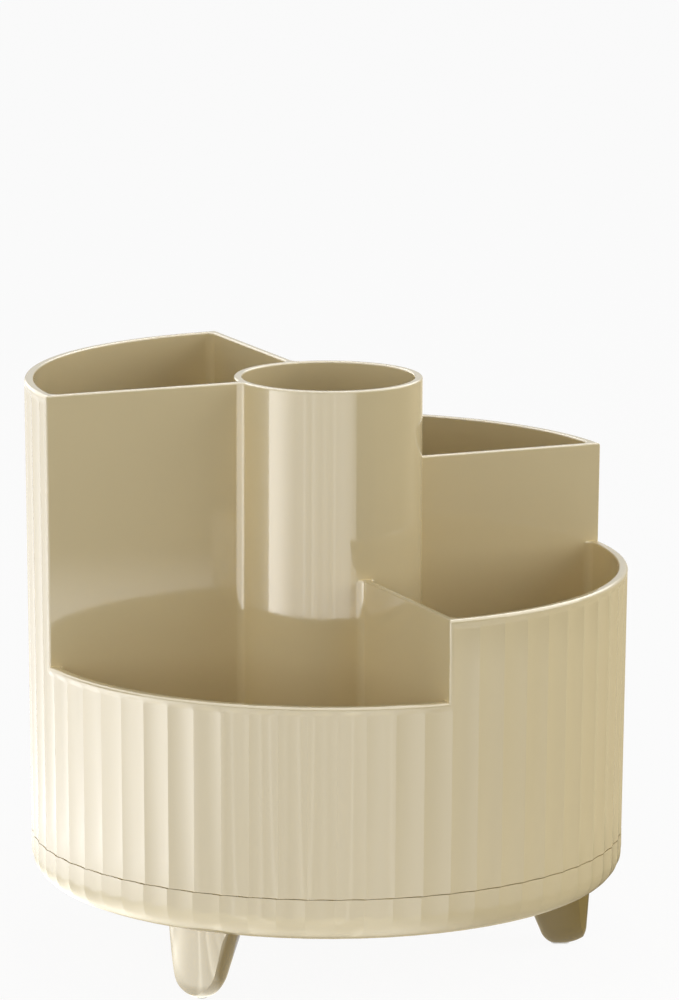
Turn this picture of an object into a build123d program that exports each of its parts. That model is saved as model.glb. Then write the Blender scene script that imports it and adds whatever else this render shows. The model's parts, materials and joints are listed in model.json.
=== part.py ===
from build123d import *
import os
from math import cos, radians, sin, sqrt, tan

# Rotating vanity organizer: a fluted, stepped cup on a ball bearing over a base with three feet.
# Millimetres and degrees. The origin is on the floor under the turning axis, and +Z is up.
# An azimuth of 0 points along -Y and grows towards +X. The four dividers lie on the X and Y axes.

# Outer form
ridge_radius = 74.0
wall_draft = 0.61
flute_count = 66
flute_depth = 0.4
seam_gap = 0.2
base_flute_offset = -0.4

# Cup, with its lowest rim above the seam and each further rim above the one before
low_rim_height = 47.2
front_rim_step = 20.1
back_rim_step = 25.1
tall_rim_step = 22.0
wall_thickness = 2.3
divider_thickness = 1.8
tube_outer_radius = 23.4
tube_wall = 2.0
floor_thickness = 2.0
skirt_depth = 2.7
corner_fillet = 2.0
floor_fillet = 1.5

# Base tray
foot_height = 19.1
tray_floor_thickness = 2.2
base_edge_fillet = 7.0
flute_fade_turn = 45.0
faded_flute_depth = 0.01
edge_section_turn = 15.0
tray_inner_fillet = 4.5
lip_thickness = 1.2
lip_top_gap = 1.0
rib_thickness = 1.6
rib_height = 1.7
rib_count = 6

# Ball bearing
ball_diameter = 4.76
ball_count = 24
ball_pitch_radius = 40.0
race_width = 12.0
race_thickness = 1.6
groove_depth = 1.0
groove_conformity = 1.04
race_seat_height = 1.0
race_lip_height = 0.8
race_lip_width = 1.2
cage_web = 1.6
cage_face_clearance = 0.5

# Turntable plate
plate_edge_gap = 4.1
plate_thickness = 2.2
race_recess = 0.5
plate_hub_radius = 8.0
plate_hub_top_gap = 0.15
plate_rib_height = 1.5
plate_rib_count = 8
plate_rib_inset = 4.0
plate_screw_inset = 8.0
plate_screw_count = 4
plate_screw_azimuth = 45.0
plate_screw_shank = 1.3
plate_screw_head = 2.6
plate_screw_head_height = 1.6
cup_boss_radius = 3.6
cup_boss_length = 2.94
pilot_skin = 1.1
pilot_tip_gap = 0.3

# Centre pivot
shoulder_radius = 3.0
pivot_thread_radius = 2.0
pivot_head_radius = 5.5
pivot_head_height = 2.0
pivot_head_round = 0.6
pivot_hex_radius = 1.7
pivot_hex_depth = 1.2
insert_wall = 1.2
insert_skin = 0.4
thread_end_gap = 0.6
bush_wall = 1.6
bush_flange_width = 2.8
bush_flange_thickness = 1.0
washer_margin = 0.7
washer_thickness = 0.8
spring_margin = 0.4
spring_thickness = 0.35
spring_height = 0.6
recess_margin = 1.5
hub_wall = 2.2
cap_thickness = 1.3
cap_head_gap = 0.3

# Feet, shaped along their own radial lines: a rounded peg with a bowed face cut on its front
foot_names = ("left", "right", "rear")
first_foot_azimuth = -53.9
foot_edge_inset = 0.4
foot_front_slope = 4.0
foot_front_round = 3.8
foot_front_round_height = 4.3
foot_front_arc_radius = 9.65
foot_depth = 19.4
foot_nose = 1.4
foot_nose_slope = 4.5
foot_nose_round = 10.8
foot_nose_round_height = 9.5
foot_back_slope = 22.9
foot_back_round = 2.3
foot_back_round_height = 2.8
foot_half_width = 9.15
foot_side_taper = 12.9
foot_tip_round_height = 6.1
foot_section_count = 11
foot_section_spread = 2.0
foot_section_points = 16
foot_screw_shank = 1.5
foot_screw_head = 2.9
foot_screw_head_height = 1.8
foot_screw_length = 10.0
foot_pin_radius = 1.2
foot_pin_height = 1.8
foot_pin_spacing = 5.4
pad_length = 4.4
pad_width = 2.2
pad_height = 1.6
pad_proud = 0.4

# Screw form, shared by the small screws
cross_length = 2.8
cross_width = 0.7
cross_depth = 0.8
head_round_share = 0.45
tip_chamfer_share = 0.5

# Clearances
running_clearance = 0.05
ball_clearance = 0.05
pocket_clearance = 0.15
body_gap = 0.3
lip_clearance = 0.4
fit_clearance = 0.05
race_fit_clearance = 0.1
screw_hole_clearance = 0.2

# How far ribs, pins and cuts run into what they meet
overlap = 1.0

# Levels and radii that follow from the sizes above, from the floor up
base_underside_z = foot_height
tray_floor_z = base_underside_z + tray_floor_thickness
ball_radius = ball_diameter / 2
race_inner_radius = ball_pitch_radius - race_width / 2
race_outer_radius = ball_pitch_radius + race_width / 2
lower_race_z = tray_floor_z + race_seat_height
lower_race_top_z = lower_race_z + race_thickness
ball_z = lower_race_top_z - groove_depth + ball_clearance + ball_radius
upper_race_bottom_z = ball_z + ball_radius + ball_clearance - groove_depth
upper_race_top_z = upper_race_bottom_z + race_thickness
cage_half_thickness = (upper_race_bottom_z - lower_race_top_z) / 2 - cage_face_clearance
cage_half_width = ball_radius + cage_web
plate_bottom_z = upper_race_top_z - race_recess
plate_top_z = plate_bottom_z + plate_thickness
floor_underside_z = plate_top_z + cup_boss_length
floor_top_z = floor_underside_z + floor_thickness
seam_z = floor_underside_z - skirt_depth
cup_bottom_z = seam_z + seam_gap / 2
tray_top_z = seam_z - seam_gap / 2
lip_top_z = floor_underside_z - lip_top_gap
low_rim_z = seam_z + low_rim_height
front_rim_z = low_rim_z + front_rim_step
back_rim_z = front_rim_z + back_rim_step
tall_rim_z = back_rim_z + tall_rim_step

skirt_inner_radius = ridge_radius - wall_thickness
lip_outer_radius = skirt_inner_radius - lip_clearance
tray_wall_radius = lip_outer_radius - lip_thickness
plate_radius = tray_wall_radius - plate_edge_gap
plate_screw_radius = plate_radius - plate_screw_inset
pilot_tip_z = floor_top_z - pilot_skin
plate_screw_length = pilot_tip_z - pilot_tip_gap - plate_bottom_z

bush_flange_top_z = plate_bottom_z - body_gap
hub_top_z = bush_flange_top_z - bush_flange_thickness
head_bottom_z = base_underside_z + cap_thickness + cap_head_gap
head_top_z = head_bottom_z + pivot_head_height
spring_top_z = head_top_z + spring_height
washer_bottom_z = spring_top_z + running_clearance
ledge_z = washer_bottom_z + washer_thickness
plate_hub_top_z = floor_underside_z - plate_hub_top_gap
insert_top_z = plate_hub_top_z - insert_skin
bush_bore_radius = shoulder_radius + running_clearance
bush_outer_radius = bush_bore_radius + bush_wall
insert_radius = pivot_thread_radius + insert_wall
pivot_recess_radius = pivot_head_radius + recess_margin
hub_radius = pivot_recess_radius + hub_wall

foot_azimuths = [first_foot_azimuth + 360 / len(foot_names) * i for i in range(len(foot_names))]
foot_front_top_radius = ridge_radius - base_edge_fillet - foot_edge_inset
foot_screw_radius = foot_front_top_radius - foot_depth / 2


def ring(inner, outer, bottom, top):
    """A flat ring about the turning axis."""
    height = top - bottom
    middle = (bottom + top) / 2
    return Pos(0, 0, middle) * (Cylinder(outer, height) - Cylinder(inner, height))


def disc(radius, bottom, top, x=0.0, y=0.0):
    """An upright cylinder between two levels."""
    return Pos(x, y, (bottom + top) / 2) * Cylinder(radius, top - bottom)


def at_azimuth(azimuth, radius=0.0):
    """The place at a radius along an azimuth, with local X pointing outwards."""
    return Rot(0, 0, azimuth - 90) * Pos(radius, 0, 0)


def around(count, start=0.0):
    """Evenly spaced azimuths."""
    return [start + 360 / count * i for i in range(count)]


def polar(radius, azimuth, z):
    """A point at a radius along an azimuth."""
    return (radius * sin(radians(azimuth)), -radius * cos(radians(azimuth)), z)


def outer_radius_at(z):
    """The radius of the cup's flute ridges, which open upwards with the draft."""
    return ridge_radius + (z - seam_z) * tan(radians(wall_draft))


def fluted_face(radius, z, offset=0.0, depth=flute_depth):
    """A level face whose edge is a ring of shallow concave flutes between sharp ridges."""
    pitch = 360 / flute_count
    arcs = []
    for i in range(flute_count):
        start = offset + pitch * i
        arcs.append(ThreePointArc(
            polar(radius, start, z),
            polar(radius - depth, start + pitch / 2, z),
            polar(radius, start + pitch, z)))
    return make_face(Curve() + arcs)


def compartment():
    """The hollow of one quadrant between the tube, the wall and two dividers, all edges rounded."""
    height = tall_rim_z - floor_top_z
    wall = Cone(outer_radius_at(floor_top_z) - wall_thickness,
                outer_radius_at(tall_rim_z) - wall_thickness, height)
    reach = 2 * ridge_radius
    middle = (divider_thickness + reach) / 2
    quadrant = Pos(middle, middle, 0) * Box(reach, reach, height)
    hollow = Pos(0, 0, floor_top_z + height / 2) * ((wall - Cylinder(tube_outer_radius, height)) & quadrant)
    corners = hollow.edges().filter_by(lambda edge: edge.bounding_box().size.Z > height / 2)
    hollow = fillet(corners, corner_fillet)
    return fillet(hollow.edges().group_by(Axis.Z)[0], floor_fillet)


def rim_cut(rim_z, x_side, y_side, x_edge, y_edge):
    """What is taken away above one quadrant's rim, outside the tube."""
    reach = 2 * ridge_radius
    height = tall_rim_z - rim_z + overlap
    block = Pos(x_edge + x_side * reach / 2, y_edge + y_side * reach / 2, rim_z + height / 2) * Box(
        reach, reach, height)
    return block - disc(tube_outer_radius, rim_z, rim_z + height)


def tube_corner(side, ledge_z, rim_z):
    """The rounded corner between the tube and one face of a divider on +X, above a quadrant's rim."""
    reach = tube_outer_radius + corner_fillet
    centre_y = divider_thickness / 2 + corner_fillet
    centre_x = sqrt(reach**2 - centre_y**2)
    start_x = tube_outer_radius - tube_wall / 2
    length = centre_x - start_x
    width = centre_y * tube_outer_radius / reach
    height = rim_z - ledge_z
    block = Pos(start_x + length / 2, side * width / 2, ledge_z + height / 2) * Box(length, width, height)
    return block - disc(corner_fillet, ledge_z, rim_z, centre_x, side * centre_y)


def organizer_cup():
    """The one-piece cup: fluted wall, dividers, centre tube, floor, skirt and screw bosses."""
    half = divider_thickness / 2
    cup = loft([
        fluted_face(outer_radius_at(cup_bottom_z), cup_bottom_z),
        fluted_face(outer_radius_at(tall_rim_z), tall_rim_z)], ruled=True)
    cup -= disc(skirt_inner_radius, cup_bottom_z, floor_underside_z)
    for azimuth in around(plate_screw_count, plate_screw_azimuth):
        spot = at_azimuth(azimuth, plate_screw_radius)
        cup += spot * disc(cup_boss_radius, plate_top_z, floor_underside_z)
        cup -= spot * disc(plate_screw_shank + fit_clearance, plate_top_z, pilot_tip_z)
    cup -= rim_cut(low_rim_z, -1, -1, -half, -half)
    cup -= rim_cut(front_rim_z, 1, -1, -half, -half)
    cup -= rim_cut(back_rim_z, 1, 1, half, -half)
    hollow = compartment()
    for quarter in range(4):
        cup -= Rot(0, 0, 90 * quarter) * hollow
    cup += Rot(0, 0, 180) * tube_corner(1, low_rim_z, tall_rim_z)
    cup += Rot(0, 0, -90) * tube_corner(-1, low_rim_z, front_rim_z)
    cup += tube_corner(-1, front_rim_z, back_rim_z)
    cup += Rot(0, 0, 90) * tube_corner(-1, back_rim_z, tall_rim_z)
    bore = disc(tube_outer_radius - tube_wall, floor_top_z, tall_rim_z)
    return cup - fillet(bore.edges().group_by(Axis.Z)[0], floor_fillet)


def edge_section(turn):
    """A level section of the base's rounded edge, at an angle round from the wall to the underside."""
    radius = ridge_radius - base_edge_fillet * (1 - cos(radians(turn)))
    z = base_underside_z + base_edge_fillet * (1 - sin(radians(turn)))
    depth = max(flute_depth * (1 - turn / flute_fade_turn), faded_flute_depth)
    return fluted_face(radius, z, base_flute_offset, depth)


def tray_outer():
    """The base's outer form: a fluted wall whose flutes fade out on the rounded edge under it."""
    turns = [edge_section_turn * i for i in range(round(90 / edge_section_turn) + 1)]
    edge = loft([edge_section(turn) for turn in turns[::-1]])
    wall_start_z = base_underside_z + base_edge_fillet
    return edge + extrude(edge_section(0), tray_top_z - wall_start_z)


def tray_ribs():
    """Low radial ribs from the hub to the wall, open where the race lies."""
    start = hub_radius - overlap
    length = tray_wall_radius - start
    rib = Pos(start + length / 2, 0, tray_floor_z + rib_height / 2) * Box(
        length, rib_thickness, rib_height)
    rib -= ring(race_inner_radius - race_fit_clearance, race_outer_radius + race_fit_clearance,
                lower_race_z, tray_floor_z + rib_height)
    return [at_azimuth(a) * rib for a in around(rib_count, first_foot_azimuth + 180 / rib_count)]


def base_tray():
    """The still base: floor, fluted ring, lip under the cup, race seat, pivot boss and ribs."""
    race_lip_outer = race_inner_radius - race_fit_clearance
    seat_inner = race_lip_outer - race_lip_width
    tray = tray_outer()
    hollow = disc(tray_wall_radius, tray_floor_z, tray_top_z)
    tray -= fillet(hollow.edges().group_by(Axis.Z)[0], tray_inner_fillet)
    tray += ring(tray_wall_radius, lip_outer_radius, tray_top_z, lip_top_z)
    tray += tray_ribs()
    tray += ring(seat_inner, race_outer_radius, tray_floor_z, lower_race_z)
    tray += ring(seat_inner, race_lip_outer, tray_floor_z, lower_race_z + race_lip_height)
    tray += disc(hub_radius, tray_floor_z, hub_top_z)
    tray -= disc(pivot_recess_radius, base_underside_z, ledge_z)
    tray -= disc(bush_outer_radius + fit_clearance, ledge_z, hub_top_z)
    for azimuth in foot_azimuths:
        spot = at_azimuth(azimuth, foot_screw_radius)
        tray -= spot * disc(foot_screw_shank + screw_hole_clearance, base_underside_z, tray_floor_z)
        tray -= spot * disc(foot_screw_head + body_gap, tray_floor_z, tray_floor_z + rib_height)
        for side in (-1, 1):
            spot = at_azimuth(azimuth, foot_screw_radius + side * foot_pin_spacing)
            tray -= spot * disc(foot_pin_radius + race_fit_clearance, base_underside_z, tray_floor_z)
    return tray


def roundness(level, height):
    """How far a rounded end has grown to its full size, from 0 to 1, at a level above it."""
    share = min(level / height, 1.0)
    return sqrt(1 - (1 - share)**2)


def foot_front_at(z):
    """The radius of the bowed face's middle line, which turns in near the floor."""
    straight = foot_front_top_radius - (foot_height - z) * tan(radians(foot_front_slope))
    return straight - foot_front_round * (1 - roundness(z, foot_front_round_height))


def foot_nose_at(z):
    """The radius of the peg's front line, most of which the bowed face cuts away."""
    straight = foot_front_top_radius + foot_nose + (foot_height - z) * tan(radians(foot_nose_slope))
    return straight - foot_nose_round * (1 - roundness(z, foot_nose_round_height))


def foot_back_at(z):
    """The radius of a foot's back line, which slants out towards the floor and turns in at the end."""
    straight = foot_front_top_radius - foot_depth + (foot_height - z) * tan(radians(foot_back_slope))
    return straight + foot_back_round * (1 - roundness(z, foot_back_round_height))


def foot_half_width_at(z):
    """Half the peg's width, which closes in towards its rounded tip."""
    straight = foot_half_width - (foot_height - z) * tan(radians(foot_side_taper))
    return straight * roundness(z, foot_tip_round_height)


def foot_section(z):
    """A level section of the peg, an oval from its back line to its front line."""
    centre = (foot_nose_at(z) + foot_back_at(z)) / 2
    depth = (foot_nose_at(z) - foot_back_at(z)) / 2
    width = foot_half_width_at(z)
    turns = [radians(a) for a in around(foot_section_points)]
    points = [(centre + depth * cos(a), width * sin(a), z) for a in turns]
    return make_face(Spline(*points, periodic=True))


def foot_front_limit(z):
    """A level section of what lies inside the bowed front face."""
    side = foot_front_arc_radius
    front = foot_front_at(z)
    back = front - side - foot_depth
    return Pos(0, 0, z) * make_face(Curve() + [
        ThreePointArc((front - side, -side), (front, 0), (front - side, side)),
        Line((front - side, side), (back, side)),
        Line((back, side), (back, -side)),
        Line((back, -side), (front - side, -side))])


def pad_centre():
    """The radius of the middle of a foot's flat tip."""
    return (foot_nose_at(pad_proud) + foot_back_at(pad_proud)) / 2


def foot():
    """A foot with two locating pins, a screw hole and a pocket for its pad."""
    shares = [(i / (foot_section_count - 1))**foot_section_spread for i in range(foot_section_count)]
    levels = [pad_proud + (foot_height - pad_proud) * share for share in shares]
    solid = loft([foot_section(z) for z in levels]) & loft([foot_front_limit(z) for z in levels])
    for side in (-1, 1):
        spot = foot_screw_radius + side * foot_pin_spacing
        solid += disc(foot_pin_radius, foot_height - overlap, foot_height + foot_pin_height, spot)
    hole_bottom_z = tray_floor_z - foot_screw_length - pilot_tip_gap
    solid -= disc(foot_screw_shank + fit_clearance, hole_bottom_z, foot_height, foot_screw_radius)
    pocket = SlotOverall(pad_length + 2 * fit_clearance, pad_width + 2 * fit_clearance)
    return solid - Pos(pad_centre(), 0, 0) * extrude(pocket, pad_height)


def foot_pad():
    """A clear plug in the foot's tip, standing a little proud of it."""
    return Pos(pad_centre(), 0, 0) * extrude(SlotOverall(pad_length, pad_width), pad_height)


def cross_recess(top_z, direction):
    """The cross slot in a screw head, cut from its outer face."""
    slots = Box(cross_length, cross_width, cross_depth) + Box(cross_width, cross_length, cross_depth)
    return Pos(0, 0, top_z - direction * cross_depth / 2) * slots


def small_screw(seat_z, direction, shank, head, head_height, length):
    """A pan-head screw that goes from its seat along +Z (1) or -Z (-1)."""
    head_end = seat_z - direction * head_height
    cap = disc(head, min(seat_z, head_end), max(seat_z, head_end))
    outer_edge = cap.edges().sort_by(Axis.Z)[0 if direction > 0 else -1]
    cap = fillet(outer_edge, head_height * head_round_share)
    tip = seat_z + direction * length
    body = disc(shank, min(seat_z, tip), max(seat_z, tip))
    tip_edge = body.edges().sort_by(Axis.Z)[-1 if direction > 0 else 0]
    body = chamfer(tip_edge, shank * tip_chamfer_share)
    return cap + body - cross_recess(head_end, -direction)


def plate_screws():
    """The screws that hold the turntable plate to the cup, from below."""
    screw = small_screw(plate_bottom_z, 1, plate_screw_shank, plate_screw_head,
                        plate_screw_head_height, plate_screw_length)
    return [at_azimuth(a, plate_screw_radius) * screw
            for a in around(plate_screw_count, plate_screw_azimuth)]


def foot_screws():
    """One screw per foot, from inside the tray."""
    screw = small_screw(tray_floor_z, -1, foot_screw_shank, foot_screw_head,
                        foot_screw_head_height, foot_screw_length)
    return [at_azimuth(a, foot_screw_radius) * screw for a in foot_azimuths]


def race(face_z, outer_z, side):
    """A pressed track ring, grooved on the face that meets the balls (side 1 is its top)."""
    blank = ring(race_inner_radius, race_outer_radius, min(face_z, outer_z), max(face_z, outer_z))
    groove_radius = ball_radius * groove_conformity
    groove_z = face_z + side * (groove_radius - groove_depth)
    return blank - Pos(0, 0, groove_z) * Torus(ball_pitch_radius, groove_radius)


def ball_cage():
    """The ring that keeps the balls apart."""
    bottom = ball_z - cage_half_thickness
    top = ball_z + cage_half_thickness
    cage = ring(ball_pitch_radius - cage_half_width, ball_pitch_radius + cage_half_width, bottom, top)
    pocket = disc(ball_radius + pocket_clearance, bottom, top)
    for azimuth in around(ball_count):
        cage -= at_azimuth(azimuth, ball_pitch_radius) * pocket
    return cage


def bearing_balls():
    """The steel balls, resting between the two grooves."""
    return [at_azimuth(a, ball_pitch_radius) * Pos(0, 0, ball_z) * Sphere(ball_radius)
            for a in around(ball_count)]


def turntable_plate():
    """The disc under the cup's floor: race recess below, pivot hub and ribs above."""
    plate = disc(plate_radius, plate_bottom_z, plate_top_z)
    plate += disc(plate_hub_radius, plate_top_z, plate_hub_top_z)
    rib_start = plate_hub_radius - overlap
    rib_length = plate_radius - plate_rib_inset - rib_start
    rib = Pos(rib_start + rib_length / 2, 0, plate_top_z + plate_rib_height / 2) * Box(
        rib_length, rib_thickness, plate_rib_height)
    plate += [at_azimuth(a) * rib for a in around(plate_rib_count, 180 / plate_rib_count)]
    plate -= ring(race_inner_radius - race_fit_clearance, race_outer_radius + race_fit_clearance,
                  plate_bottom_z, upper_race_top_z)
    plate -= disc(insert_radius + fit_clearance, plate_bottom_z, insert_top_z)
    for azimuth in around(plate_screw_count, plate_screw_azimuth):
        spot = at_azimuth(azimuth, plate_screw_radius)
        plate -= spot * disc(plate_screw_shank + screw_hole_clearance, plate_bottom_z, plate_top_z)
        plate -= spot * disc(cup_boss_radius + body_gap, plate_top_z, plate_top_z + plate_rib_height)
    return plate


def threaded_insert():
    """The brass insert in the plate's hub."""
    return ring(pivot_thread_radius + fit_clearance, insert_radius, plate_bottom_z, insert_top_z)


def pivot_screw():
    """The shoulder screw that the cup turns with, put in from below."""
    screw = disc(pivot_head_radius, head_bottom_z, head_top_z)
    screw = fillet(screw.edges().sort_by(Axis.Z)[0], pivot_head_round)
    screw += disc(shoulder_radius, head_top_z, plate_bottom_z)
    screw += disc(pivot_thread_radius, plate_bottom_z, insert_top_z - thread_end_gap)
    hexagon = extrude(RegularPolygon(pivot_hex_radius, 6), pivot_hex_depth)
    return screw - Pos(0, 0, head_bottom_z) * hexagon


def disc_spring():
    """A coned spring washer between the screw's head and the thrust washer."""
    bore = shoulder_radius + running_clearance
    edge = pivot_head_radius + spring_margin
    profile = make_face(Polyline(
        (bore, 0, spring_top_z - spring_thickness), (edge, 0, head_top_z),
        (edge, 0, head_top_z + spring_thickness), (bore, 0, spring_top_z), close=True))
    return revolve(profile, Axis.Z, 360)


def thrust_washer():
    """The slippery washer that stays against the base's ledge."""
    return ring(bush_bore_radius, pivot_head_radius + washer_margin, washer_bottom_z, ledge_z)


def pivot_bush():
    """The flanged bush in the base's boss, on which the shoulder turns."""
    bush = disc(bush_outer_radius, ledge_z, hub_top_z)
    bush += disc(bush_outer_radius + bush_flange_width, hub_top_z, bush_flange_top_z)
    return bush - disc(bush_bore_radius, ledge_z, bush_flange_top_z)


def centre_cap():
    """The plug that closes the screw's recess, flush with the underside."""
    return disc(pivot_recess_radius - fit_clearance, base_underside_z, base_underside_z + cap_thickness)


def write(name, shape):
    """One STEP file for each node, a group of solids or a single one."""
    if isinstance(shape, list):
        shape = Compound(children=shape)
    export_step(shape, os.path.join("parts", name + ".step"))


os.makedirs("parts", exist_ok=True)
write("organizer_cup", organizer_cup())
write("base_tray", base_tray())
one_foot = foot()
one_pad = foot_pad()
for place, azimuth in zip(foot_names, foot_azimuths):
    write("foot_" + place, at_azimuth(azimuth) * one_foot)
    write("foot_pad_" + place, at_azimuth(azimuth) * one_pad)
write("foot_screws", foot_screws())
write("lower_race", race(lower_race_top_z, lower_race_z, 1))
write("upper_race", race(upper_race_bottom_z, upper_race_top_z, -1))
write("ball_cage", ball_cage())
write("bearing_balls", bearing_balls())
write("turntable_plate", turntable_plate())
write("plate_screws", plate_screws())
write("threaded_insert", threaded_insert())
write("pivot_screw", pivot_screw())
write("disc_spring", disc_spring())
write("thrust_washer", thrust_washer())
write("pivot_bush", pivot_bush())
write("centre_cap", centre_cap())
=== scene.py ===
import json
from math import atan2, cos, degrees, hypot, pi, radians, sin, sqrt, tan

import bpy
import numpy as np
from mathutils import Matrix, Vector
from mathutils.geometry import delaunay_2d_cdt


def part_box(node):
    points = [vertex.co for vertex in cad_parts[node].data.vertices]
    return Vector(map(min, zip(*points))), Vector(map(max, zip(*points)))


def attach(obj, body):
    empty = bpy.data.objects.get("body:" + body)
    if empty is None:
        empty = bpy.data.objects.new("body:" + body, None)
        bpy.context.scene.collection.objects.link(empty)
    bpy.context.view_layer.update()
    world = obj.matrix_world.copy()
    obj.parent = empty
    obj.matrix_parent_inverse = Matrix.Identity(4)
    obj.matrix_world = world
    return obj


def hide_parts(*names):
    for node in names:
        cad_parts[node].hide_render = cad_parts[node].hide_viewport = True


# Rotating vanity organizer: a fluted, stepped cup that turns on a base with three feet.
# The cup is worked out in millimetres, and the stage, the lights and the camera in metres.
# An azimuth is in degrees, 0 along -Y and growing towards +X.

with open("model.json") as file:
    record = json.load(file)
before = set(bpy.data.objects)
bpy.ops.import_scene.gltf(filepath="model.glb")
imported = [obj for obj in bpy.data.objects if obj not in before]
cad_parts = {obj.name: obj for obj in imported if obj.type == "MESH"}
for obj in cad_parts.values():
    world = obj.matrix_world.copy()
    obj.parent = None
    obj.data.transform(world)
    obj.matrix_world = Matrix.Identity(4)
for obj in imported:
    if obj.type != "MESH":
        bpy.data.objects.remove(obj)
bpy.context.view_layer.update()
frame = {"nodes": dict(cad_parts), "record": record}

MM = 0.001

# Outer form, whose ridges stand on a circle and lean out with the draft above the seam
ridge_radius = 74.0
wall_draft = 0.61
flute_count = 66
flute_depth = 0.4
flute_steps = 10
seam_z = 30.3

# Cup
low_rim_z = 77.5
front_rim_z = 97.6
back_rim_z = 122.7
tall_rim_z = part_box("organizer_cup")[1].z / MM
floor_top_z = 35.0
floor_underside_z = 33.0
wall_thickness = 2.3
divider_thickness = 1.8
tube_outer_radius = 23.4
tube_wall = 2.0
corner_fillet = 2.0
floor_fillet = 1.5
rim_round = 0.45
rim_steps = 5
shoulder_round = 0.8
shoulder_steps = 6
fade_width = 1.6
fade_steps = 6
floor_steps = 5
bottom_round = 0.2
bottom_steps = 5
cup_bottom_z = seam_z

# Between these radii the draft grows from none near the tube to the whole near the wall
draft_start_radius = 30.0
draft_full_radius = 66.0

# Segments of the plan's arcs
corner_segments = 8
wall_segments = 60
tube_segments = 36
bore_points = 144
joint_segments = 6
end_segments = 6

# How near counts as the same: distances, angles in radians, the wall's outline and points to merge
same_distance = 0.01
same_angle = 0.001
same_outline = 0.002
same_point = 1e-4
level_digits = 4

half = divider_thickness / 2
wall_inner_radius = ridge_radius - wall_thickness
bore_radius = tube_outer_radius - tube_wall
corner_centre = half + corner_fillet
wall_corner = sqrt((wall_inner_radius - corner_fillet)**2 - corner_centre**2)
tube_corner = sqrt((tube_outer_radius + corner_fillet)**2 - corner_centre**2)
tube_corner_angle = atan2(corner_centre, tube_corner)


def polar(radius, azimuth):
    """A plan point at a radius along an azimuth in degrees."""
    return radius * sin(radians(azimuth)), -radius * cos(radians(azimuth))


def hollow_depth(azimuth):
    """How deep a flute is at an azimuth, in from the circle of the ridges."""
    pitch = 360 / flute_count
    across = (azimuth / pitch) % 1.0
    # The straight chord from ridge to ridge, and a parabola for what the flute is deeper than it
    chord = ridge_radius * cos(radians(pitch / 2)) / cos(radians((across - 0.5) * pitch))
    sag = flute_depth - ridge_radius * (1 - cos(radians(pitch / 2)))
    return ridge_radius - chord + sag * 4 * across * (1 - across)


def azimuth_of(x, y):
    """The azimuth of a plan point, from 0 to 360."""
    return degrees(atan2(x, -y)) % 360


def arc(centre, radius, start, end, steps):
    """Points on an arc between two angles in degrees, counted from +X, both ends included."""
    angles = [radians(start + (end - start) * i / steps) for i in range(steps + 1)]
    return [(centre[0] + radius * cos(a), centre[1] + radius * sin(a)) for a in angles]


def pocket_outline(offset):
    """The plan outline of the quadrant hollow at +X +Y, moved out into the walls by an offset."""
    face = half - offset
    turn = corner_fillet + offset
    wall_angle = degrees(atan2(corner_centre, wall_corner))
    tube_angle = degrees(tube_corner_angle)
    points = [(tube_corner, face), (wall_corner, face)]
    points += arc((wall_corner, corner_centre), turn, -90, wall_angle, corner_segments)[1:]
    points += arc((0, 0), wall_inner_radius + offset, wall_angle, 90 - wall_angle, wall_segments)[1:]
    points += arc((corner_centre, wall_corner), turn, 90 - wall_angle, 180, corner_segments)[1:]
    points += [(face, tube_corner)]
    points += arc((corner_centre, tube_corner), turn, 180, 270 - tube_angle, corner_segments)[1:]
    points += arc((0, 0), tube_outer_radius - offset, 90 - tube_angle, tube_angle, tube_segments)[1:]
    points += arc((tube_corner, corner_centre), turn, 180 + tube_angle, 270, corner_segments)[1:-1]
    return points


def quarter_turn(points, quarters):
    """Plan points turned by a number of quarter turns."""
    for _ in range(quarters):
        points = [(-y, x) for x, y in points]
    return points


def round_offsets(turn, steps):
    """How far in from its edge each step of a quarter round begins."""
    return [turn * (1 - cos(radians(90 * i / steps))) for i in range(steps + 1)]


rim_offsets = round_offsets(rim_round, rim_steps)
shoulder_offsets = round_offsets(shoulder_round, shoulder_steps)
floor_offsets = [-offset for offset in round_offsets(floor_fillet, floor_steps)[1:]]

# The open end of a higher rim at each step: azimuth of the divider, and the side that is open
step_ends = {"front": (0, -1), "back": (90, -1), "tall_right": (180, -1), "tall_left": (-90, 1)}


def end_frame(name):
    """Unit plan vectors out along a step's divider and across it towards its open side."""
    azimuth, side = step_ends[name]
    out = Vector(polar(1, azimuth))
    across = Vector(polar(1, azimuth + 90)) * side
    return out, across


def end_corner(name):
    """Centre of the rounded outer corner of a step's open end, and its azimuth."""
    out, across = end_frame(name)
    aside = half - rim_round
    centre = across * aside + out * sqrt((ridge_radius - rim_round)**2 - aside**2)
    return centre, azimuth_of(centre.x, centre.y)


corner_azimuths = [end_corner(name)[1] for name in step_ends]
azimuths = sorted(set([360 / flute_count * i / flute_steps for i in range(flute_count * flute_steps)]
                      + corner_azimuths))


def outline_radius_at(x, y):
    """The radius of the outline's straight segments in the direction of a plan point."""
    azimuth = azimuth_of(x, y)
    i = int(np.searchsorted(azimuths, azimuth, side="right")) - 1
    span = (azimuths[(i + 1) % len(azimuths)] - azimuths[i]) % 360
    return ridge_radius * cos(radians(span / 2)) / cos(radians(azimuth - azimuths[i] - span / 2))


class Plan:
    """Plan points and the lines between them, for one triangulation."""

    def __init__(self):
        self.points = []
        self.edges = []

    def add(self, points, closed=False):
        """A line through points, and back to the first of them where it is closed."""
        first = len(self.points)
        self.points += [Vector(p) for p in points]
        last = len(self.points) - 1
        self.edges += [(i, i + 1) for i in range(first, last)]
        if closed:
            self.edges.append((last, first))


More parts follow.
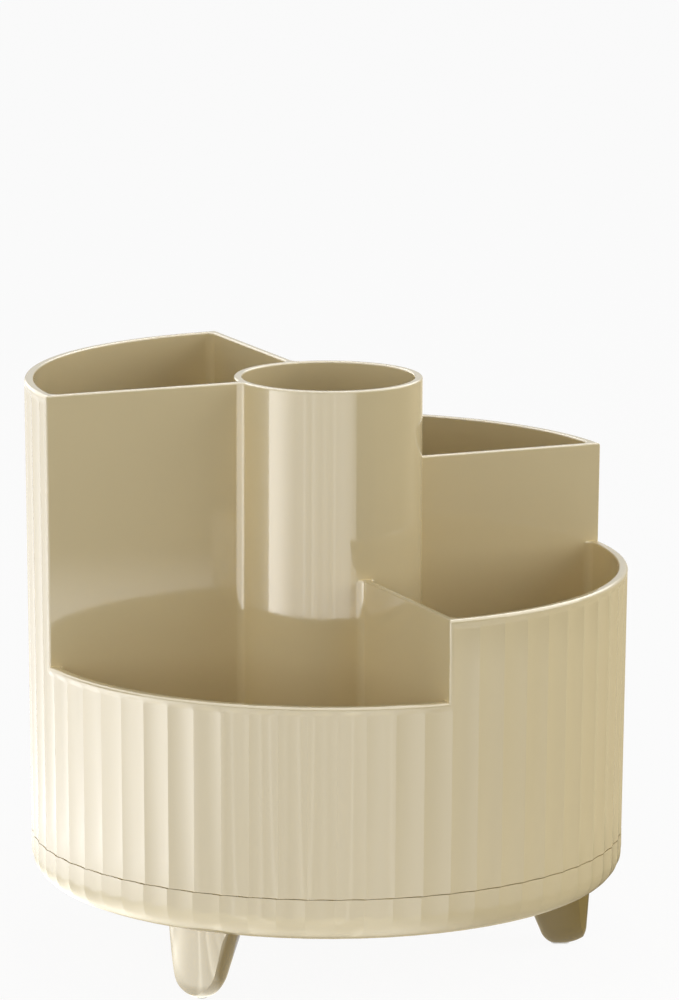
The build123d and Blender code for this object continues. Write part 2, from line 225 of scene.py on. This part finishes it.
def cup_plan():
    """All the outlines that the cup's rims, edges and floors follow, seen from above."""
    plan = Plan()
    for offset in shoulder_offsets:
        plan.add([polar(ridge_radius - offset, a) for a in azimuths], closed=True)
    last_angle = 360 - 360 / bore_points
    for offset in rim_offsets + floor_offsets:
        plan.add(arc((0, 0), bore_radius + offset, 0, last_angle, bore_points - 1), closed=True)
        outline = pocket_outline(offset)
        for quarter in range(4):
            plan.add(quarter_turn(outline, quarter), closed=True)
    spread = degrees(tube_corner_angle)
    for middle in (-90, 0):
        for offset in rim_offsets:
            start, end = middle - spread, middle + spread
            plan.add(arc((0, 0), tube_outer_radius - offset, start, end, joint_segments))
    for name in step_ends:
        out, across = end_frame(name)
        centre, azimuth = end_corner(name)
        outward = Vector(polar(1, azimuth))
        for offset in rim_offsets:
            turn = rim_round - offset
            points = [across * (half - offset) + out * wall_corner]
            if turn > 0:
                for i in range(end_segments + 1):
                    angle = radians(90 * i / end_segments)
                    points.append(centre + across * turn * cos(angle) + outward * turn * sin(angle))
            else:
                points.append(centre)
            plan.add(points)
    return plan


pocket_loops = [np.array(quarter_turn(pocket_outline(0), q)) for q in range(4)]


def inside(points, loop):
    """Which plan points lie inside a closed loop."""
    x, y = points[:, 0:1], points[:, 1:2]
    ax, ay = loop[:, 0], loop[:, 1]
    bx, by = np.roll(ax, -1), np.roll(ay, -1)
    crosses = (ay > y) != (by > y)
    with np.errstate(divide="ignore", invalid="ignore"):
        at = ax + (y - ay) * (bx - ax) / (by - ay)
    return (np.sum(crosses & (x < at), axis=1) % 2) == 1


def distance_to(points, loop):
    """The distance from each plan point to a closed loop."""
    a = loop[None, :, :]
    step = np.roll(loop, -1, axis=0)[None, :, :] - a
    rel = points[:, None, :] - a
    share = np.clip((rel * step).sum(2) / (step**2).sum(2), 0, 1)
    return np.linalg.norm(rel - share[:, :, None] * step, axis=2).min(1)


OUTSIDE, FLOOR, LOW, FRONT, BACK, TALL = range(6)
rim_level = {LOW: low_rim_z, FRONT: front_rim_z, BACK: back_rim_z, TALL: tall_rim_z}
divider_terrace = {"front": FRONT, "back": BACK, "tall_right": TALL, "tall_left": TALL}
below_end = {"front": LOW, "back": FRONT, "tall_right": BACK, "tall_left": LOW}
sectors = sorted((end_corner(name)[1], kind) for name, kind in (
    ("front", FRONT), ("back", BACK), ("tall_right", TALL), ("tall_left", LOW)))


def wall_top(kind):
    """The level at which the outer wall ends and the rim's shoulder begins."""
    return round(rim_level[kind] - shoulder_round, level_digits)


wall_levels = sorted({wall_top(kind) - fade_width * i / fade_steps
                      for kind in rim_level for i in range(fade_steps + 1)})


def flute_share(azimuth, z):
    """How much of the flutes' depth is left at a place on the outer wall: none at the rim's edge."""
    before = [kind for start, kind in sectors if start <= azimuth]
    nearest = wall_top(before[-1] if before else sectors[-1][1]) - z
    for n, (start, kind) in enumerate(sectors):
        lower = min(wall_top(kind), wall_top(sectors[n - 1][1]))
        along = radians(abs((azimuth - start + 180) % 360 - 180)) * ridge_radius
        nearest = min(nearest, hypot(along, max(lower - z, 0.0)))
    share = min(max(nearest / fade_width, 0.0), 1.0)
    return share**2 * (3 - 2 * share)


def end_distances(name, x, y):
    """How far a plan point lies in from a step's open face, out along it, and in from the outline."""
    out, across = end_frame(name)
    face = half - (x * across.x + y * across.y)
    along = x * out.x + y * out.y
    return face, along, outline_radius_at(x, y) - hypot(x, y)


def terraces(points):
    """The terrace that each plan point lies on."""
    hollow = np.zeros(len(points), bool)
    for loop in pocket_loops:
        hollow |= inside(points, loop)
    found = []
    for (x, y), is_hollow in zip(points, hollow):
        radius = hypot(x, y)
        if is_hollow or radius < bore_radius:
            found.append(FLOOR)
        elif radius > outline_radius_at(x, y):
            found.append(OUTSIDE)
        elif radius < tube_outer_radius:
            found.append(TALL)
        elif radius < tube_outer_radius + corner_fillet:
            if abs(x) > abs(y):
                found.append(BACK if x > 0 else TALL)
            else:
                found.append(TALL if y > 0 else FRONT)
        else:
            if y < -half:
                terrace = LOW if x < -half else FRONT
            else:
                terrace = BACK if x > half else TALL
            for name in step_ends:
                face, along, inset = end_distances(name, x, y)
                if divider_terrace[name] == terrace and along > wall_corner and 0 <= face < rim_round:
                    if inset < rim_round and hypot(rim_round - face, rim_round - inset) > rim_round:
                        terrace = below_end[name]
            found.append(terrace)
    return found


def edge_distance(terrace, x, y, to_pockets):
    """The distance from a plan point on a rim to the rim's nearest free edge, but for the outer wall's."""
    radius = hypot(x, y)
    nearest = min(to_pockets, abs(radius - bore_radius))
    for name in step_ends:
        if divider_terrace[name] != terrace:
            continue
        face, along, inset = end_distances(name, x, y)
        if along < wall_corner - same_distance or face < -same_distance:
            continue
        face = max(face, 0.0)
        if face < rim_round and inset < rim_round:
            nearest = min(nearest, max(rim_round - hypot(rim_round - face, rim_round - inset), 0.0))
        else:
            nearest = min(nearest, face)
    if terrace == TALL and radius < tube_outer_radius + same_distance:
        joined = min(abs(atan2(y, -x)), abs(atan2(x, y))) < tube_corner_angle - same_angle
        if not joined:
            nearest = min(nearest, max(tube_outer_radius - radius, 0.0))
    return nearest


def drop(distance, turn):
    """How far a rounded edge has fallen at a distance in from it."""
    distance = min(distance, turn)
    return turn - sqrt(turn**2 - (turn - distance)**2)


def snapped(distance, offsets):
    """A distance set to the nearest of the offsets that it almost equals."""
    nearest = min(offsets, key=lambda offset: abs(offset - distance))
    return nearest if abs(nearest - distance) < same_distance else distance


def height(terrace, x, y, to_pockets):
    """The cup's height at a plan point on a terrace, with rounded rims and filleted floors."""
    if terrace == FLOOR:
        distance = min(to_pockets, abs(hypot(x, y) - bore_radius))
        return floor_top_z + drop(snapped(distance, [0.0] + [-o for o in floor_offsets]), floor_fillet)
    if terrace == OUTSIDE:
        return cup_bottom_z + bottom_round
    inset = max(outline_radius_at(x, y) - hypot(x, y), 0.0)
    return rim_level[terrace] - max(
        drop(snapped(edge_distance(terrace, x, y, to_pockets), rim_offsets), rim_round),
        drop(snapped(inset, shoulder_offsets), shoulder_round))


def drafted(x, y, z):
    """A point of the straight cup moved out with the walls' draft, in metres."""
    radius = hypot(x, y)
    share = min(max((radius - draft_start_radius) / (draft_full_radius - draft_start_radius), 0.0), 1.0)
    grow = 1 + share * (z - seam_z) * tan(radians(wall_draft)) / radius
    return x * grow * MM, y * grow * MM, z * MM


def fluted(x, y, z, inset=0.0):
    """A point of the outline moved in to the fluted wall at a level, and further in by an inset."""
    radius = hypot(x, y)
    azimuth = azimuth_of(x, y)
    grow = (ridge_radius - inset - hollow_depth(azimuth) * flute_share(azimuth, z)) / radius
    return x * grow, y * grow


def linked_object(name, data):
    """A new object in the scene."""
    obj = bpy.data.objects.new(name, data)
    bpy.context.scene.collection.objects.link(obj)
    return obj


def mesh_object(name, verts, faces, sharp_degrees=21.0, face_weight=80):
    """A new smooth-shaded mesh object whose sharp edges are those over an angle."""
    mesh = bpy.data.meshes.new(name)
    mesh.from_pydata(verts, [], faces)
    mesh.validate()
    mesh.polygons.foreach_set("use_smooth", [True] * len(mesh.polygons))
    mesh.set_sharp_from_angle(angle=radians(sharp_degrees))
    obj = linked_object(name, mesh)
    weighted = obj.modifiers.new("face weighted normals", "WEIGHTED_NORMAL")
    weighted.keep_sharp = True
    weighted.weight = face_weight
    return obj


class Shell:
    """The cup's mesh as it grows, from plan points raised to the levels that its faces need."""

    def __init__(self, flat):
        self.flat = flat
        self.on_outline = np.hypot(flat[:, 0], flat[:, 1]) > ridge_radius - same_outline
        self.index_of = {}
        self.levels = {}
        self.verts = []
        self.faces = []

    def vertex(self, i, z):
        """The vertex over a plan point at a level, made if there is none yet."""
        key = (i, round(z, level_digits))
        if key not in self.index_of:
            self.index_of[key] = len(self.verts)
            place = fluted(*self.flat[i], z) if self.on_outline[i] else self.flat[i]
            self.verts.append(drafted(*place, z))
            self.levels.setdefault(i, []).append(key[1])
        return self.index_of[key]

    def levels_between(self, i, low, high):
        """The levels of the vertices over a plan point from one level up to another."""
        return sorted(z for z in self.levels[i] if low <= z <= high)


def add_outer_wall(shell, a, b, kind):
    """The strip of outer wall over one edge of the outline, in rows where the flutes fade."""
    start_z = cup_bottom_z + bottom_round
    rows = [start_z] + [z for z in wall_levels if start_z < z <= wall_top(kind)]
    for low, high in zip(rows, rows[1:]):
        corners = (b, low), (b, high), (a, high), (a, low)
        shell.faces.append([shell.vertex(i, z) for i, z in corners])


def add_step(shell, a, b, a_levels, b_levels):
    """The upright face over one edge between two terraces."""
    ring = [shell.vertex(b, z) for z in shell.levels_between(b, *b_levels)]
    ring += [shell.vertex(a, z) for z in reversed(shell.levels_between(a, *a_levels))]
    face = [v for n, v in enumerate(ring) if v != ring[n - 1]]
    if len(face) > 2:
        shell.faces.append(face)


def add_underside(shell, loop):
    """The wall's rounded lower edge, the skirt's inner face and the floor's underside."""
    previous = [shell.vertex(i, cup_bottom_z + bottom_round) for i in loop]
    turns = [radians(90 * n / bottom_steps) for n in range(1, bottom_steps + 1)]
    profile = [(bottom_round * (1 - cos(a)), cup_bottom_z + bottom_round * (1 - sin(a))) for a in turns]
    rings = [[(fluted(*shell.flat[i], z, inset), z) for i in loop] for inset, z in profile]
    for z in (cup_bottom_z, floor_underside_z):
        rings.append([(shell.flat[i] * wall_inner_radius / hypot(*shell.flat[i]), z) for i in loop])
    for ring in rings:
        current = list(range(len(shell.verts), len(shell.verts) + len(ring)))
        shell.verts += [drafted(*point, z) for point, z in ring]
        for n in range(len(ring)):
            m = (n + 1) % len(ring)
            shell.faces.append([previous[m], previous[n], current[n], current[m]])
        previous = current
    shell.faces.append(previous[::-1])


def build_cup():
    """The one-piece cup: fluted wall, stepped rims, dividers, centre tube and floors."""
    plan = cup_plan()
    points, _, triangles, _, _, _ = delaunay_2d_cdt(plan.points, plan.edges, [], 0, same_point, False)
    flat = np.array([(p.x, p.y) for p in points])
    corners = np.array([list(t) for t in triangles])
    kinds = terraces(flat[corners].mean(1))
    to_pockets = np.min([distance_to(flat, loop) for loop in pocket_loops], axis=0)
    shell = Shell(flat)

    def top(i, kind):
        """The cup's height over a plan point, taken on one terrace."""
        return round(height(kind, *flat[i], to_pockets[i]), level_digits)

    sides = {}
    for triangle, kind in zip(corners, kinds):
        if kind != OUTSIDE:
            shell.faces.append([shell.vertex(i, top(i, kind)) for i in triangle])
        for n in range(3):
            sides[(triangle[n], triangle[(n + 1) % 3])] = kind
    steps = []
    outer = {}
    for (a, b), kind in sides.items():
        other = sides.get((b, a), OUTSIDE)
        if kind > other == OUTSIDE:
            outer[a] = b
            add_outer_wall(shell, a, b, kind)
        elif kind > other:
            for i in (a, b):
                shell.vertex(i, top(i, other))
            steps.append((a, b, kind, other))
    for a, b, kind, other in steps:
        add_step(shell, a, b, (top(a, other), top(a, kind)), (top(b, other), top(b, kind)))
    loop = [next(iter(outer))]
    while outer[loop[-1]] != loop[0]:
        loop.append(outer[loop[-1]])
    add_underside(shell, loop)
    return mesh_object("organizer_cup_shell", shell.verts, shell.faces)


cup = build_cup()
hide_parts("organizer_cup")
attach(cup, "organizer")


def new_material(name):
    """A node material, with its nodes, its links and its Principled shader."""
    material = bpy.data.materials.new(name)
    material.use_nodes = True
    nodes, links = material.node_tree.nodes, material.node_tree.links
    return material, nodes, links, nodes["Principled BSDF"]


def srgb(red, green, blue):
    """A linear colour from screen values over 10 and up to 255."""
    return [((c / 255 + 0.055) / 1.055)**2.4 for c in (red, green, blue)] + [1.0]


# Most of a noise texture's values lie in this range
NOISE_RANGE = (0.3, 0.7)

# Height of a finish's fine skin, in metres
SKIN_HEIGHT = 0.0002


def noise(nodes, links, place, scale, detail=2.0):
    """A noise texture on the object's own coordinates, in cycles per metre."""
    texture = nodes.new("ShaderNodeTexNoise")
    texture.inputs["Scale"].default_value = scale
    texture.inputs["Detail"].default_value = detail
    links.new(place.outputs["Object"], texture.inputs["Vector"])
    return texture


def spread(nodes, links, source, low, high):
    """A texture's value, stretched to run from low to high."""
    span = nodes.new("ShaderNodeMapRange")
    span.inputs["From Min"].default_value, span.inputs["From Max"].default_value = NOISE_RANGE
    span.inputs["To Min"].default_value = low
    span.inputs["To Max"].default_value = high
    links.new(source, span.inputs["Value"])
    return span.outputs["Result"]


def finish(name, colour, second, roughness, drift=25.0, polish=160.0, grain=900.0, bump=0.02, metallic=0.0,
           ior=1.5, vary=0.15, transmission=0.0):
    """A solid finish: colour that drifts between two tones, uneven polish and a fine skin.

    drift, polish and grain are the scales of their noises.
    """
    material, nodes, links, shader = new_material(name)
    place = nodes.new("ShaderNodeTexCoord")
    tone = noise(nodes, links, place, drift, detail=3.0)
    tint = nodes.new("ShaderNodeMix")
    tint.data_type = "RGBA"
    tint.inputs["A"].default_value = colour
    tint.inputs["B"].default_value = second
    links.new(tone.outputs["Fac"], tint.inputs["Factor"])
    links.new(tint.outputs["Result"], shader.inputs["Base Color"])
    wear = noise(nodes, links, place, polish)
    links.new(spread(nodes, links, wear.outputs["Fac"], roughness * (1 - vary), roughness * (1 + vary)),
              shader.inputs["Roughness"])
    skin = noise(nodes, links, place, grain)
    relief = nodes.new("ShaderNodeBump")
    relief.inputs["Strength"].default_value = bump
    relief.inputs["Distance"].default_value = SKIN_HEIGHT
    links.new(skin.outputs["Fac"], relief.inputs["Height"])
    links.new(relief.outputs["Normal"], shader.inputs["Normal"])
    shader.inputs["Metallic"].default_value = metallic
    shader.inputs["IOR"].default_value = ior
    shader.inputs["Transmission Weight"].default_value = transmission
    return material


slot_materials = {
    "cream_gloss": finish("cream gloss plastic", srgb(206, 190, 150), srgb(203, 187, 147), 0.06, ior=1.54),
    "gold_gloss": finish("gold-toned gloss", srgb(139, 119, 66), srgb(133, 113, 61), 0.05, ior=1.9),
    "cream_inner": finish("cream inner plastic", srgb(204, 190, 154), srgb(197, 182, 145), 0.42, bump=0.12),
    "race_steel": finish("pressed steel", srgb(196, 196, 192), srgb(176, 177, 174), 0.30,
                         metallic=1.0, vary=0.3),
    "ball_steel": finish("ball steel", srgb(222, 222, 222), srgb(214, 215, 216), 0.06, metallic=1.0),
    "screw_steel": finish("zinc plated steel", srgb(192, 194, 196), srgb(172, 176, 182), 0.26,
                          metallic=1.0, vary=0.3),
    "brass": finish("turned brass", srgb(214, 178, 106), srgb(198, 158, 84), 0.24, metallic=1.0, vary=0.3),
    "natural_nylon": finish("natural nylon", srgb(232, 228, 214), srgb(224, 219, 202), 0.38, bump=0.08),
    "white_acetal": finish("white acetal", srgb(238, 238, 235), srgb(232, 232, 228), 0.32, bump=0.06),
    "clear_silicone": finish("clear silicone", srgb(232, 231, 226), srgb(224, 222, 215), 0.36,
                             bump=0.10, ior=1.41, transmission=0.55)}
node_slots = {part["node"]: part["material_slot"] for part in frame["record"]["subparts"]}

cup.data.materials.append(slot_materials["cream_gloss"])
for name, node in frame["nodes"].items():
    node.data.materials.clear()
    node.data.materials.append(slot_materials[node_slots[name]])


def stage_square(name, reach, material):
    """A level square of the stage on the ground, from -reach to reach both ways."""
    mesh = bpy.data.meshes.new(name)
    corners = [(-reach, -reach, 0), (reach, -reach, 0), (reach, reach, 0), (-reach, reach, 0)]
    mesh.from_pydata(corners, [], [(0, 1, 2, 3)])
    mesh.materials.append(material)
    obj = linked_object(name, mesh)


FLOOR_REACH = 8.0
FLOOR_GLOW_SHARE = 0.93


def floor_material():
    """Pale paint, in whose place the camera, gloss and clear parts see mostly plain white light.

    The rest of what they see is the paint, with the object's shadow.
    """
    paint, nodes, links, shader = new_material("white floor")
    shader.inputs["Base Color"].default_value = (0.9, 0.9, 0.9, 1)
    shader.inputs["Roughness"].default_value = 0.9
    shader.inputs["Specular IOR Level"].default_value = 0.0
    light = nodes.new("ShaderNodeEmission")
    light.inputs["Strength"].default_value = 1.0
    rays = nodes.new("ShaderNodeLightPath")
    seen = rays.outputs["Is Camera Ray"]
    for kind in ("Is Glossy Ray", "Is Transmission Ray"):
        either = nodes.new("ShaderNodeMath")
        either.operation = "MAXIMUM"
        links.new(seen, either.inputs[0])
        links.new(rays.outputs[kind], either.inputs[1])
        seen = either.outputs["Value"]
    share = nodes.new("ShaderNodeMath")
    share.operation = "MULTIPLY"
    share.inputs[1].default_value = FLOOR_GLOW_SHARE
    mix = nodes.new("ShaderNodeMixShader")
    links.new(seen, share.inputs[0])
    links.new(share.outputs["Value"], mix.inputs["Fac"])
    links.new(shader.outputs["BSDF"], mix.inputs[1])
    links.new(light.outputs["Emission"], mix.inputs[2])
    links.new(mix.outputs["Shader"], nodes["Material Output"].inputs["Surface"])
    paint.cycles.emission_sampling = "NONE"
    return paint


stage_square("floor", FLOOR_REACH, floor_material())

# The world's light goes with the height of its direction, from the horizon's strength to the lowest
WORLD_COLOUR = (0.985, 0.99, 1, 1)
WORLD_STRENGTH = {"From Min": 0.0, "From Max": 0.7, "To Min": 1.5, "To Max": 0.16}


def studio_world():
    """The world that lights the scene, brightest at the horizon."""
    world = bpy.data.worlds.new("studio")
    world.use_nodes = True
    nodes, links = world.node_tree.nodes, world.node_tree.links
    nodes["Background"].inputs["Color"].default_value = WORLD_COLOUR
    direction = nodes.new("ShaderNodeTexCoord")
    parts = nodes.new("ShaderNodeSeparateXYZ")
    strength = nodes.new("ShaderNodeMapRange")
    for socket, value in WORLD_STRENGTH.items():
        strength.inputs[socket].default_value = value
    links.new(direction.outputs["Generated"], parts.inputs["Vector"])
    links.new(parts.outputs["Z"], strength.inputs["Value"])
    links.new(strength.outputs["Result"], nodes["Background"].inputs["Strength"])
    return world


bpy.context.scene.world = studio_world()

# The photograph's view runs from this azimuth, and lights are placed by turns to the right of it
VIEW_AZIMUTH = -23.85


def beside(turn, distance, z):
    """A place at a distance from the object's axis, at a turn from the camera's direction."""
    x, y = polar(distance, VIEW_AZIMUTH + turn)
    return Vector((x, y, z))


def soft_light(name, place, target_z, size, radiance):
    """A square soft lamp that faces a height on the object's axis, with its brightness as a surface's."""
    data = bpy.data.lights.new(name, "AREA")
    data.shape = "SQUARE"
    data.size = size
    data.energy = radiance * size * size * pi
    obj = linked_object(name, data)
    obj.location = place
    obj.rotation_euler = (Vector((0, 0, target_z)) - place).to_track_quat("-Z", "Y").to_euler()
    obj.visible_camera = False


soft_light("right softbox", beside(turn=89, distance=1.1, z=0.5), target_z=0.08, size=0.9, radiance=2.0)
soft_light("left softbox", beside(turn=-52, distance=1.1, z=0.4), target_z=0.08, size=0.9, radiance=0.8)
soft_light("top softbox", beside(turn=-20, distance=0.3, z=1.2), target_z=0.05, size=1.2, radiance=0.15)


# Painted reflection that only gloss sees, laid over the table, by turn: bright at the left, even in front
# with narrow bars, dim at the right.
# Its warmth is the share that its blue lacks, and its green lacks a third of that.
TABLE_GLOW = (
    (-180, 1.2), (-155, 1.45), (-141, 2.1), (-123, 3.3), (-109, 4.4), (-96, 6.4), (-82, 7.4), (-68, 8.0),
    (-60, 7.4), (-48, 5.1), (-40, 4.0), (-30, 4.0), (-28, 5.2), (-26, 4.0), (-20, 3.6), (-18, 4.9),
    (-14, 4.1), (-8, 3.6), (-4, 4.2), (2, 3.7), (6, 3.7), (8, 4.9), (10, 3.8), (18, 3.9), (25, 3.5),
    (36, 2.6), (44, 2.0), (48, 1.8), (60, 1.6), (80, 0.95), (105, 0.7), (150, 0.58), (180, 1.2))
TABLE_WARMTH = (
    (-180, 0.1), (-123, 0.03), (-109, 0.0), (-26, 0.0), (-20, 0.02), (8, 0.03), (18, 0.0), (44, 0.02),
    (60, 0.1), (80, 0.24), (105, 0.43), (150, 0.45), (180, 0.1))

# Under the base it is dim and warm, a painted shadow in the reflection, and UNDER_EDGE gives by radius how
# far that has ended.
# Close to the feet it has a share by turn and a tint, painted light and shade in the reflection there, and
# NEAR_EDGE gives by radius how much they count.
# Far out it falls to a share by radius, a painted shade, and FAR_SIDE gives by turn how much that counts.
UNDER_BASE_PAINTED_SHADE = (0.85, 0.76, 0.56)
UNDER_EDGE = ((0.055, 0.0), (0.075, 1.0))
NEAR_EDGE = ((0.12, 1.0), (0.18, 0.0))
NEAR_SHARE = ((-180, 0.5), (-70, 0.5), (-40, 1.3), (15, 1.3), (45, 0.4), (130, 0.3), (180, 0.5))
NEAR_TINT = (1.0, 0.97, 0.86)
FAR_SHARE = ((0.42, 1.0), (0.5, 0.1))
FAR_SIDE = ((29, 0.0), (35, 1.0), (100, 1.0), (130, 0.0))
TABLE_GLOW_Z = 0.0004
TABLE_RADII = (0.03, 0.055, 0.075, 0.12, 0.18, 0.3, 0.42, 0.5, 0.8, 2.5)

# The ceiling's painted reflection for gloss, which paints highlights on rims and rounded edges: strong
# overhead, and soft near the horizon but for more at the back left.
# SKY_GLOW and SKY_LOW go by radius and SKY_LEFT by turn, and each of the rings has a radius and a height.
SKY_GLOW = ((0.0, 6.5), (0.9, 6.5), (1.4, 3.2), (1.6, 1.3), (3.0, 0.6))
SKY_LEFT = ((-166, 0.0), (-158, 1.0), (-115, 1.0), (-100, 0.0))
SKY_LOW = ((1.4, 0.0), (1.6, 3.0))
SKY_TINT = (1.0, 0.97, 0.9)
SKY_RINGS = ((0.02, 0.7), (0.9, 0.7), (1.4, 0.62), (1.6, 0.545), (3.0, 0.02))

GLOW_TURNS = range(-180, 180, 2)


def read_at(points, at):
    """The value of a row of points at a place between them."""
    return float(np.interp(at, *zip(*points)))


def painted_table_reflection(turn, radius):
    """The colour of the painted table reflection at a turn and a radius."""
    near = read_at(NEAR_EDGE, radius)
    far = read_at(FAR_SIDE, turn)
    level = (1 - near + near * read_at(NEAR_SHARE, turn)) * (1 - far + far * read_at(FAR_SHARE, radius))
    level *= read_at(TABLE_GLOW, turn)
    warmth = read_at(TABLE_WARMTH, turn)
    beyond = read_at(UNDER_EDGE, radius)
    shades = []
    # Blend from the painted shadow under the base out to the painted reflection beyond it
    for tint, near_tint, under in zip((1, 1 - warmth / 3, 1 - warmth), NEAR_TINT, UNDER_BASE_PAINTED_SHADE):
        table = level * tint * (1 - near + near * near_tint)
        shades.append(beyond * table + (1 - beyond) * under)
    return shades


def painted_sky_reflection(turn, radius):
    """The colour of the ceiling's painted reflection at a turn and a radius."""
    level = read_at(SKY_GLOW, radius) + read_at(SKY_LEFT, turn) * read_at(SKY_LOW, radius)
    return [level * share for share in SKY_TINT]


def glow_material(name):
    """Light of the colour that the mesh holds, for painted reflections, which the renderer doesn't sample
    as a lamp.
    """
    paint, nodes, links, shader = new_material(name)
    nodes.remove(shader)
    reading = nodes.new("ShaderNodeAttribute")
    reading.attribute_name = "glow"
    light = nodes.new("ShaderNodeEmission")
    links.new(reading.outputs["Color"], light.inputs["Color"])
    links.new(light.outputs["Emission"], nodes["Material Output"].inputs["Surface"])
    paint.cycles.emission_sampling = "NONE"
    return paint


def painted_reflection_rings(name, rings, glow):
    """Painted reflections: light round the object that only gloss sees, over rings of a radius and a height
    each.
    """
    count = len(GLOW_TURNS)
    places = [beside(turn, radius, z) for radius, z in rings for turn in GLOW_TURNS]
    colours = [glow(turn, radius) for radius, z in rings for turn in GLOW_TURNS]
    quads = []
    for first in range(0, count * (len(rings) - 1), count):
        for i in range(count):
            j = (i + 1) % count
            quads.append((first + i, first + j, first + count + j, first + count + i))
    mesh = bpy.data.meshes.new(name)
    mesh.from_pydata(places, [], quads)
    shade = mesh.attributes.new("glow", "FLOAT_COLOR", "POINT")
    for point, colour in zip(shade.data, colours):
        point.color = (*colour, 1.0)
    mesh.materials.append(glow_material(name))
    obj = linked_object(name, mesh)
    obj.visible_camera = False
    obj.visible_diffuse = False
    obj.visible_shadow = False
    obj.visible_transmission = False


# A sheet just over the floor that glows only for gloss: painted reflections, with painted shade under the
# base and at the right
painted_reflection_rings("painted table reflection", [(radius, TABLE_GLOW_Z) for radius in TABLE_RADII], painted_table_reflection)
# A canopy over the object that glows only for gloss: painted reflection that paints highlights on rims and
# rounded edges
painted_reflection_rings("painted sky reflection", SKY_RINGS, painted_sky_reflection)

# Camera at the photograph's place, with its lens in millimetres and its roll in degrees
camera_place = Vector((-0.5701, -1.2966, 0.3865))
camera_target = Vector((0.00265, -0.00117, 0.1134))
camera_roll = 0.2325
camera_lens = 208.96
camera_data = bpy.data.cameras.new("camera")
camera_data.sensor_width = 36
camera_data.lens = camera_lens
camera_data.clip_start = 0.05
camera = linked_object("camera", camera_data)
look = (camera_target - camera_place).to_track_quat("-Z", "Y").to_matrix().to_4x4()
roll = Matrix.Rotation(radians(camera_roll), 4, "Z")
camera.matrix_world = Matrix.Translation(camera_place) @ look @ roll
bpy.context.scene.camera = camera
bpy.context.scene.view_settings.view_transform = "Standard"
